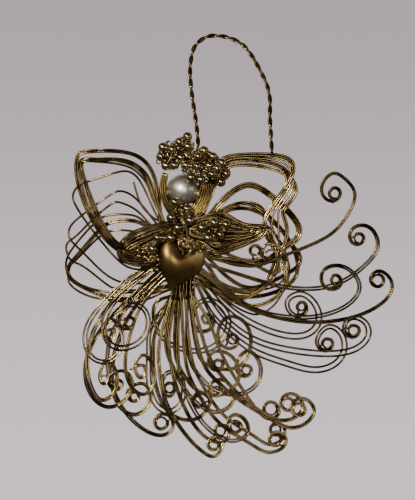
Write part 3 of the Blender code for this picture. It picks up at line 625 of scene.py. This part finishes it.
def middle_line(node):
    """A wire's middle line, and the distance between its strands at each point."""
    rings = rings_of(node, WAIST)
    curve = spline([(*ring.mean(0), max(widest(ring) - 2 * WIRE_RADIUS, 0)) for ring in rings])
    line = curve[:, :3]
    length = np.arange(len(line)) * WIRE_STEP
    line[:, 1] += wave_of(node, length) * np.clip(length / WAVE_LENGTH, 0, 1)
    return line, np.maximum(curve[:, 3], 0)


def reach_in(line):
    """A line with its first point carried on into the binding."""
    return np.vstack([line[:1] + unit(line[0] - line[1]) * ROOT_REACH, line])


def across(line):
    """Unit vectors across a line, seen from the front."""
    steps = np.gradient(line, axis=0)
    side = np.column_stack([-steps[:, 2], np.zeros(len(line)), steps[:, 0]])
    return side / np.linalg.norm(side, axis=1)[:, None]


def eye_circle(line):
    """Middle of the circle on which a line ends, and its sense, seen from the front."""
    first, second, third = (line[-back, [0, 2]] for back in EYE_READ)
    before = second - first
    after = third - second
    middle = np.linalg.solve(2 * np.array([before, after]),
                             [second @ second - first @ first, third @ third - second @ second])
    return middle, np.sign(before[0] * after[1] - before[1] * after[0])


def eye_ring(strand, middle, sense, turned, lap, tail):
    """A strand carried on round its eye by an angle, lapping forward, with a tail off the circle."""
    start = strand[-1, [0, 2]] - middle
    radius = np.linalg.norm(start)
    share = np.linspace(0, 1, max(EYE_POINTS, int(radius * turned / WIRE_STEP)))[1:]
    angle = math.atan2(start[1], start[0]) + sense * turned * share
    reach = radius + tail * np.clip(share * TAIL_PART - (TAIL_PART - 1), 0, 1) ** 2
    ring = np.column_stack([middle[0] + reach * np.cos(angle), strand[-1, 1] - lap * share ** 2,
                            middle[1] + reach * np.sin(angle)])
    return np.vstack([strand, ring])


def tendrils():
    """The doubled wires of the skirt: two strands each, both curled into an eye at the end."""
    for node in sorted(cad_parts):
        if not node.startswith(("tendril", "curl")):
            continue
        line, gap = middle_line(node)
        middle, sense = eye_circle(line)
        line = reach_in(line)
        gap = np.r_[gap[:1], gap]
        half = np.maximum(gap * np.interp(gap, STRAND_GAPS, STRAND_SHARES), CLOSEST_STRANDS) / 2
        # Strands nearer than they are thick lie partly one behind the other
        behind = np.sqrt(np.maximum(STRAND_RADIUS ** 2 - half ** 2, 0))
        apart = across(line) * half[:, None] + np.outer(behind, (0, 1, 0))
        strands = [line + apart, line - apart]
        strands.sort(key=lambda strand: np.linalg.norm(strand[-1, [0, 2]] - middle))
        chance = random.Random(node)
        inner = eye_ring(strands[0], middle, sense, math.radians(chance.uniform(*INNER_TURN)),
                         EYE_LAP * STRAND_RADIUS, INWARD_END)
        outer = eye_ring(strands[1], middle, sense, math.radians(chance.uniform(*OUTER_TURN)),
                         0.0, CUT_TAIL)
        wires = [tube(strand, STRAND_RADIUS) for strand in (inner, outer)]
        piece(node + "_wires", wires, finish_of(node), [node])


def wings():
    """The wires of the wings: single, or two or three side by side."""
    for node in sorted(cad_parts):
        if not node.startswith("wing"):
            continue
        line, gap = middle_line(node)
        line = reach_in(line)
        gap = np.r_[gap[:1], gap]
        if np.linalg.norm(line[-1] - WAIST) < NEAR_WAIST:
            line = reach_in(line[::-1])[::-1]
            gap = np.r_[gap, gap[-1:]]
        count = 1 + round(gap.max() / (2 * WIRE_RADIUS))
        side = across(line) * gap[:, None] / 2
        shares = np.linspace(-1, 1, count) if count > 1 else [0]
        wires = [tube(line + side * share, WIRE_RADIUS) for share in shares]
        piece(node + "_wire", wires, finish_of(node), [node])


def apron():
    """The skirt's topmost wires, which lie over the foot of the binding."""
    routes = [[at_pixel(*top, APRON_DEPTH), at_pixel(*foot, APRON_DEPTH)]
              for top, foot in zip(APRON_TOPS, APRON_FEET)]
    piece("skirt_apron", [tube(spline(route), WIRE_RADIUS) for route in routes], WIRE)


def wing_band(name, first, second, shares, finish):
    """Wires that run between two wires of a wing, or just beyond the second."""
    lines = [reach_in(middle_line(node)[0]) for node in (first, second)]
    step = np.linspace(0, 1, min(map(len, lines)))
    lines = [read_at(step, np.linspace(0, 1, len(line)), line) for line in lines]
    wires = []
    for row in shares:
        share = np.interp(step, np.linspace(0, 1, len(row)), row)[:, None]
        in_depth = np.minimum(share, 1)
        share = np.column_stack([share, in_depth, share])
        wires.append(tube(lines[0] + share * (lines[1] - lines[0]), WIRE_RADIUS))
    piece(name, wires, finish)


def stub():
    """A short cut wire that stands up between the left wing's wires, from the waist."""
    route = [at_pixel(u, v, STUB_DEPTH) for u, v in STUB_PIXELS]
    piece("left_wing_stub", [tube(spline(route), WIRE_RADIUS)], WIRE)


# Hanger, hair and sleeves

def hanger():
    """The hanging loop: two wires twisted together."""
    line = spline([ring.mean(0) for ring in rings_of("hanger_loop", HEAD)])
    turned = math.tau * np.arange(len(line)) * WIRE_STEP / TWIST_LENGTH
    offset = across(line) * np.cos(turned)[:, None] + np.outer(np.sin(turned), (0, 1, 0))
    wires = [tube(line + offset * WIRE_RADIUS * way, WIRE_RADIUS) for way in (1, -1)]
    piece("hanger_loop_twist", wires, WIRE, ["hanger_loop"])


def hair(node, name, swell):
    """A lock of fine wires in rows, in the space of its node and wrapped a little over the pearl."""
    rings = rings_of(node, WAIST, flat_back=True)
    flat_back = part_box(node)[1][1]
    curve = spline([(*ring.mean(0), widest(ring), ring[:, 1].min()) for ring in rings])
    line, width, front = curve[:, :3], curve[:, 3], curve[:, 4]
    side = across(line)
    side = side * np.sign(((HEAD - line) * side).sum(1).mean())
    along = np.linspace(HAIR_SWELL_START, math.pi, len(line))
    far = -width / 2 + HAIR_RADIUS
    near = width / 2 - HAIR_RADIUS + swell * np.sqrt(np.maximum(np.sin(along), 0))
    count = round((near - far).max() / (WIRE_PITCH * HAIR_RADIUS))
    clear = PEARL_RADIUS + HAIR_RADIUS * HAIR_ROOM
    chance = random.Random(node)
    wires = []
    for row in range(HAIR_ROWS):
        for number in range(count - row):
            share = (number + 0.5 * row) / (count - 1)
            wave = np.sin(np.linspace(0, HAIR_WAVE, len(line)) + chance.uniform(*ANY_SHIFT))
            place = far + (near - far) * share + HAIR_WANDER * HAIR_RADIUS * wave
            path = line + side * place[:, None]
            path[:, 1] = front + HAIR_RADIUS + row * (flat_back - front - 2 * HAIR_RADIUS)
            away = np.linalg.norm((path - HEAD)[:, [0, 2]], axis=1)
            wrap = HEAD[1] - np.sqrt(np.maximum(clear ** 2 - away ** 2, 0))
            wrap = wrap - row * HAIR_ROW_GAP * HAIR_RADIUS
            path[:, 1] = np.where(away < clear, np.minimum(path[:, 1], wrap), path[:, 1])
            wires.append(tube(path, HAIR_RADIUS, FINE_SIDES))
    piece(name, wires, GOLD_WIRE, [node])


def pinched(loop):
    """A sleeve's loop, drawn in above where the right sleeve thins out into loose wires."""
    start, end = at_pixel(*PINCH_START, 0), at_pixel(*PINCH_END, 0)
    share = np.clip((loop[:, 0] - start[0]) / (end - start)[0], 0, 1)
    above = np.maximum(loop[:, 2] - start[2], 0)
    loop[:, 2] -= above * PINCH_SHARE * np.sin(math.pi * np.sqrt(share))
    return loop


def one_turn(loop):
    """A smooth path along a closed loop of points, from its first point back to there."""
    path = spline(np.vstack([loop[-LAPPED:], loop, loop[:LAPPED + 1]]))
    away = np.linalg.norm(path - loop[0], axis=1)
    half = len(path) // 2
    return path[away[:half].argmin():half + away[half:].argmin() + 1]


def sleeve(node, finish):
    """Loops of wire that lie one inside another over some layers, in the space of a sleeve's node."""
    outer, valley = loops_of(node)
    inner = outer + (valley - outer) / (1 - 1 / SLEEVE_LOOPS)
    low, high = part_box(node)
    thickness = high[1] - low[1]
    reach = np.linalg.norm((outer - inner)[:, [0, 2]], axis=1).mean()
    count = round(reach / (WIRE_PITCH * WIRE_RADIUS))
    places, heights = np.transpose(SLEEVE_RIDGES)
    turn = even_turns(len(outer))
    chance = random.Random(node)
    wires = []
    for layer in range(SLEEVE_LAYERS):
        staggered = layer % 2
        for number in range(count - staggered):
            size = 1 - (number + 0.5 + 0.5 * staggered) / count
            wander = LOOP_WANDER / count * np.sin(turn * 2 + chance.uniform(*ANY_SHIFT)) * (number > 0)
            loop = pinched(inner + (outer - inner) * (size + wander)[:, None])
            height = np.interp(size, places, heights)
            front = high[1] - thickness * height + WIRE_RADIUS * (1 + LAYER_GAP * layer)
            play = [chance.uniform(-DEPTH_PLAY, DEPTH_PLAY) for _ in turn]
            loop[:, 1] = front + WIRE_RADIUS * np.array(play)
            wires.append(tube(one_turn(loop), WIRE_RADIUS))
    piece(node + "_loops", wires, finish, [node])


# Beads and fine wire

def bead(centre, heading):
    """A round bead with a small hole along its wire."""
    heading = unit(heading)
    first, second = square_to(heading, BEAD_HINT)
    end = math.asin(BEAD_HOLE / BEAD_RADIUS)
    turns = even_turns(BEAD_SIDES)
    profile = [(math.cos(tilt) * BEAD_RADIUS, math.sin(tilt) * BEAD_RADIUS)
               for tilt in np.linspace(end, math.pi - end, BEAD_RINGS)]
    inner = BEAD_RADIUS * BORE_REACH
    profile = [(inner, BEAD_HOLE * BORE_SHARE), *profile, (-inner, BEAD_HOLE * BORE_SHARE)]
    return skin([centre + heading * along + out * circle(turns, first, second) for along, out in profile])


def scatter(chance, spread):
    """A random step in all three directions."""
    return np.array([chance.gauss(0, spread) for _ in range(3)])


def small_loop(middle, chance):
    """A short coil of fine wire about a place, facing anywhere."""
    facing = Vector(scatter(chance, 1)).normalized()
    first = np.array(facing.orthogonal().normalized())
    second = np.cross(facing, first)
    turn = np.linspace(0, math.tau * LOOP_TURNS, LOOP_POINTS) + chance.uniform(*ANY_SHIFT)
    swell = 1 + LOOP_SWELL * np.sin(turn * LOOP_SWELL_PACE)
    out = BEAD_RADIUS * chance.uniform(*LOOP_REACH) * swell
    path = middle + out[:, None] * circle(turn, first, second)
    path = path + np.outer(np.linspace(-1, 1, len(turn)) * LOOP_PITCH * FINE_RADIUS, facing)
    return tube(path, FINE_RADIUS * LOOP_THICKNESS, FINE_SIDES)


def winding(start, end, chance):
    """Loops of fine wire round the gap between two beads."""
    length = np.linalg.norm(end - start)
    way = unit(end - start)
    first, second = square_to(way, WINDING_HINT)
    turn = np.linspace(0, math.tau * WINDING_TURNS, WINDING_POINTS) + chance.uniform(*ANY_SHIFT)
    share = np.linspace(*WINDING_PLACES, len(turn))
    wander = WINDING_WANDER * np.sin(turn * WINDING_WAVE + chance.uniform(*ANY_SHIFT))
    out = BEAD_RADIUS * (WINDING_REACH + wander)
    path = start + np.outer(share * length, way)
    return tube(path + out[:, None] * circle(turn, first, second), FINE_RADIUS, FINE_SIDES)


def tangle(node, centres, chance):
    """Small loops of fine wire that fill the gaps between the beads of a string."""
    loops = []
    for number, start in enumerate(centres):
        for end in centres[number + 1:]:
            if np.linalg.norm(end - start) > TANGLE_REACH:
                continue
            for _ in range(LOOPS_A_GAP):
                middle = start + chance.uniform(*TANGLE_PLACES) * (end - start)
                middle = middle + scatter(chance, TANGLE_SPREAD) * BEAD_RADIUS
                middle[1] += TANGLE_BACK
                loops.append(small_loop(middle, chance))
    piece(node + "_tangle", loops, FINE_WIRE)


def bead_string(node):
    """A string of beads, the wire through them and the fine wire between them."""
    rings = rings_of(node, HEAD)
    centres = np.array([ring.mean(0) for ring in rings[FIRST_WIDEST:-1:NODE_RINGS]])
    beads = [bead(centre, step) for centre, step in zip(centres, np.gradient(centres, axis=0))]
    piece(node + "_balls", beads, BEAD, [node])
    chance = random.Random(node)
    wires = [tube(spline(centres), FINE_RADIUS, FINE_SIDES)]
    wires += [winding(start, end, chance) for start, end in zip(centres, centres[1:])]
    piece(node + "_windings", wires, FINE_WIRE)
    tangle(node, centres, chance)


def heap(name, tone, pixels, y, spread, count):
    """Small loops of thin wire heaped about a short line given in pixels."""
    chance = random.Random(name)
    line = np.array([at_pixel(u, v, y) for u, v in pixels])
    loops = []
    for _ in range(count):
        place = chance.uniform(0, len(line) - 1)
        before = min(int(place), len(line) - 2)
        middle = line[before] + (place - before) * (line[before + 1] - line[before])
        loops.append(small_loop(middle + scatter(chance, spread) * HEAP_FLATNESS, chance))
    piece(name, loops, HEAP_FINISHES[tone])


# Head, heart and binding

def pearl():
    """The round head."""
    turns = even_turns(PEARL_SIDES)
    rings = []
    for tilt in np.linspace(PEARL_POLE, math.pi - PEARL_POLE, PEARL_RINGS):
        out = PEARL_RADIUS * math.sin(tilt)
        height = np.full(len(turns), PEARL_RADIUS * math.cos(tilt))
        rings.append(np.column_stack([np.cos(turns) * out, np.sin(turns) * out, height]) + HEAD)
    piece("head_pearl_ball", [skin(rings)], PEARL, ["head_pearl"])


def heart_outline():
    """A heart one unit wide and high, about the middle of its box."""
    turn = even_turns(HEART_POINTS)
    out = np.sin(turn) * np.abs(np.sin(turn))
    up = sum(size * np.cos((number + 1) * turn) for number, size in enumerate(HEART_WAVES)) / HEART_UNIT
    return np.column_stack([out / 2, (up + HEART_RISE) * HEART_UNIT / HEART_SPAN])


def blown_up(outline, places):
    """How far a skin stretched over a heart swells at places, from none at its edge to one.

    A skin under even pressure is a bowl and a sum of waves that cancels it along the edge.
    """
    scale = np.abs(outline).max()
    above_notch = 1j * (outline[0, 1] / scale + np.array(HEART_POLES))

    def waves(points):
        place = ((points[..., 0] + 1j * points[..., 1]) / scale)[..., None]
        both = np.concatenate([place ** np.arange(HEART_TERMS), 1 / (place - above_notch)], axis=-1)
        return np.concatenate([both.real, both.imag], axis=-1)

    shares, *_ = np.linalg.lstsq(waves(outline), (outline ** 2).sum(-1), rcond=HEART_FIT)
    swell = np.maximum(waves(places) @ shares - (places ** 2).sum(-1), 0)
    away = np.linalg.norm(places - HEART_CREST, axis=-1) / HEART_CREST_REACH
    swell = swell ** HEART_PUFF * np.exp(-away ** 2 / 2)
    return swell / swell.max()


def heart():
    """The puffed heart charm: rings out over its front and in again over its back."""
    middle = middle_of("heart_charm")
    outline = heart_outline() * np.array([HEART_WIDTH, HEART_HEIGHT])
    tilt = np.array([[math.cos(HEART_TILT), -math.sin(HEART_TILT)],
                     [math.sin(HEART_TILT), math.cos(HEART_TILT)]])
    half = size_of("heart_charm")[1] / 2
    rim = HEART_RIM / 2
    shares = np.sin(np.linspace(HEART_MIDDLE, 1, HEART_RINGS) * math.pi / 2)
    flat = outline * shares[:, None, None]
    swell = blown_up(outline, flat)
    swell[-1] = 0
    numbers = list(range(HEART_RINGS))
    rings = []
    for number, way in [(number, -1) for number in numbers] + [(number, 1) for number in numbers[::-1]]:
        place = flat[number] @ tilt
        y = middle[1] + way * (rim + (half - rim) * swell[number])
        rings.append(np.column_stack([place[:, 0] + middle[0], y, place[:, 1] + middle[2]]))
    rings = np.array(rings)
    offset = (rings.reshape(-1, 3).min(0) + rings.reshape(-1, 3).max(0)) / 2 - middle
    piece("heart_charm_puffed", [skin(rings - offset)], CHARM, ["heart_charm"])


def squared(wave):
    """A sine or cosine swollen, so that the two draw a block with round corners."""
    return np.sign(wave) * np.abs(wave) ** BINDING_ROUNDNESS


def binding():
    """Fine wire wound round the waist, and round the neck."""
    rings = rings_of("waist_binding", (WAIST[0], WAIST[1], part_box("waist_binding")[0][2]))
    rows = np.array([(*ring.mean(0), *(ring.max(0) - ring.min(0))[:2] / 2) for ring in rings])
    heights = rows[:, 2]
    turns = (heights[-1] - heights[0]) / (BINDING_PITCH * WINDING_RADIUS)
    angle = np.linspace(0, math.tau * turns, int(turns * BINDING_POINTS))
    height = heights[0] + (heights[-1] - heights[0]) * angle / angle[-1]
    x, y, _, width, depth = read_at(height, heights, rows).T
    path = np.column_stack([x + (width - WINDING_RADIUS) * squared(np.cos(angle)),
                            y + (depth - WINDING_RADIUS) * squared(np.sin(angle)), height])
    coil = tube(path, WINDING_RADIUS, FINE_SIDES)
    turn = even_turns(BINDING_SIDES)
    core = []
    for x, y, z, width, depth in rows:
        core.append(np.column_stack([x + (width - 2 * WINDING_RADIUS) * squared(np.cos(turn)),
                                     y + (depth - 2 * WINDING_RADIUS) * squared(np.sin(turn)),
                                     np.full(len(turn), z)]))
    piece("waist_windings", [coil, skin(core)], BINDING_WIRE, ["waist_binding"])


# Stage, lights and camera

def stage():
    """A pale floor well below the hanging ornament, which fades into the surround and isn't mirrored."""
    low = cad_box[0][2] - FLOOR_DROP
    bpy.ops.mesh.primitive_circle_add(vertices=FLOOR_SIDES, radius=FLOOR_RADIUS, fill_type="NGON",
                                      location=(WAIST[0], 0, low))
    floor = bpy.context.object
    floor.name = "floor"
    material = bpy.data.materials.new("pale_floor")
    material.use_nodes = True
    nodes = material.node_tree.nodes
    links = material.node_tree.links
    shader = nodes["Principled BSDF"]
    set_values(shader, {"Base Color": (*FLOOR_TONE, 1), "Roughness": FLOOR_ROUGHNESS,
                        "Specular IOR Level": FLOOR_SHINE})
    place = nodes.new("ShaderNodeTexCoord")
    length = nodes.new("ShaderNodeVectorMath")
    length.operation = "LENGTH"
    links.new(place.outputs["Object"], length.inputs[0])
    fade = nodes.new("ShaderNodeMapRange")
    set_values(fade, {"From Min": FLOOR_FADE_START * FLOOR_RADIUS, "From Max": FLOOR_RADIUS})
    links.new(length.outputs["Value"], fade.inputs["Value"])
    clear = nodes.new("ShaderNodeBsdfTransparent")
    mirrored = nodes.new("ShaderNodeLightPath")
    unseen = nodes.new("ShaderNodeMath")
    unseen.operation = "MAXIMUM"
    links.new(fade.outputs["Result"], unseen.inputs[0])
    links.new(mirrored.outputs["Is Glossy Ray"], unseen.inputs[1])
    mix = nodes.new("ShaderNodeMixShader")
    links.new(unseen.outputs["Value"], mix.inputs["Fac"])
    links.new(shader.outputs["BSDF"], mix.inputs[1])
    links.new(clear.outputs["BSDF"], mix.inputs[2])
    links.new(mix.outputs["Shader"], nodes["Material Output"].inputs["Surface"])
    floor.data.materials.append(material)


def surround():
    """A pale surround, which metal mirrors as a dim room in front and pale paper behind."""
    world = bpy.data.worlds.new("surround")
    bpy.context.scene.world = world
    world.use_nodes = True
    nodes = world.node_tree.nodes
    links = world.node_tree.links
    pale = nodes["Background"]
    dim = nodes.new("ShaderNodeBackground")
    place = nodes.new("ShaderNodeTexCoord")
    split = nodes.new("ShaderNodeSeparateXYZ")
    links.new(place.outputs["Generated"], split.inputs["Vector"])
    height = nodes.new("ShaderNodeMapRange")
    height.interpolation_type = "SMOOTHSTEP"
    set_values(height, {"From Min": -BACKDROP_SPAN, "From Max": BACKDROP_SPAN})
    links.new(split.outputs["Z"], height.inputs["Value"])
    grade = nodes.new("ShaderNodeMix")
    grade.data_type = "RGBA"
    grade.inputs[MIX_LOW].default_value = (*BACKDROP_FOOT, 1)
    grade.inputs[MIX_HIGH].default_value = (*BACKDROP_TOP, 1)
    links.new(height.outputs["Result"], grade.inputs["Factor"])
    links.new(grade.outputs[MIX_RESULT], pale.inputs["Color"])
    ramp = colour_ramp(world.node_tree, MIRRORED)
    back = nodes.new("ShaderNodeMapRange")
    set_values(back, {"From Min": -1, "From Max": 1})
    links.new(split.outputs["Y"], back.inputs["Value"])
    links.new(back.outputs["Result"], ramp.inputs["Fac"])
    links.new(ramp.outputs["Color"], dim.inputs["Color"])
    kind = nodes.new("ShaderNodeLightPath")
    mix = nodes.new("ShaderNodeMixShader")
    links.new(kind.outputs["Is Glossy Ray"], mix.inputs["Fac"])
    links.new(pale.outputs["Background"], mix.inputs[1])
    links.new(dim.outputs["Background"], mix.inputs[2])
    links.new(mix.outputs["Shader"], nodes["World Output"].inputs["Surface"])


def lamp(name, place, target, size, power, colour):
    """A soft box that faces a target."""
    data = bpy.data.lights.new(name, "AREA")
    data.shape = "DISK"
    data.size = size
    data.energy = power
    data.color = colour
    item = bpy.data.objects.new(name, data)
    item.location = place
    item.rotation_euler = (Vector(target) - Vector(place)).to_track_quat("-Z", "Y").to_euler()
    bpy.context.collection.objects.link(item)


def lights_and_camera():
    """Soft boxes on the viewer's side, and a long lens square to the figure."""
    middle = at_pixel(*PHOTO_MIDDLE, 0)
    for name, offset, size, power, colour in LAMPS:
        lamp(name, middle + offset, middle, size, power, colour)
    data = bpy.data.cameras.new("camera")
    data.lens = data.sensor_width * CAMERA_DISTANCE / (PHOTO_HEIGHT * PIXEL)
    camera = bpy.data.objects.new("camera", data)
    camera.location = middle + (0, -CAMERA_DISTANCE, 0)
    camera.rotation_euler = (math.pi / 2, 0, 0)
    bpy.context.collection.objects.link(camera)
    bpy.context.scene.camera = camera


tendrils()
wings()
hanger()
# The left sleeve takes the darker copy of the brass, a painted shade
sleeve("left_sleeve", PAINTED_SHADE_WIRE)
sleeve("right_sleeve", WIRE)
hair("left_hair_wires", "left_hair_strands", LEFT_HAIR_SWELL)
hair("right_hair_wires", "right_hair_strands", RIGHT_HAIR_SWELL)
stub()
apron()
wing_band("left_wing_band", "wing_left_1", "wing_left_2", LEFT_WING_BAND, WIRE)
# The right wing's band takes the lighter copy of the brass, a painted highlight
wing_band("right_wing_band", "wing_right_1", "wing_right_2", RIGHT_WING_BAND, PAINTED_HIGHLIGHT_WIRE)
for string in ("halo_beads", "collar_beads", "left_sleeve_beads", "right_sleeve_beads"):
    bead_string(string)
for row in HEAPS:
    heap(*row)
pearl()
heart()
binding()
stage()
surround()
lights_and_camera()
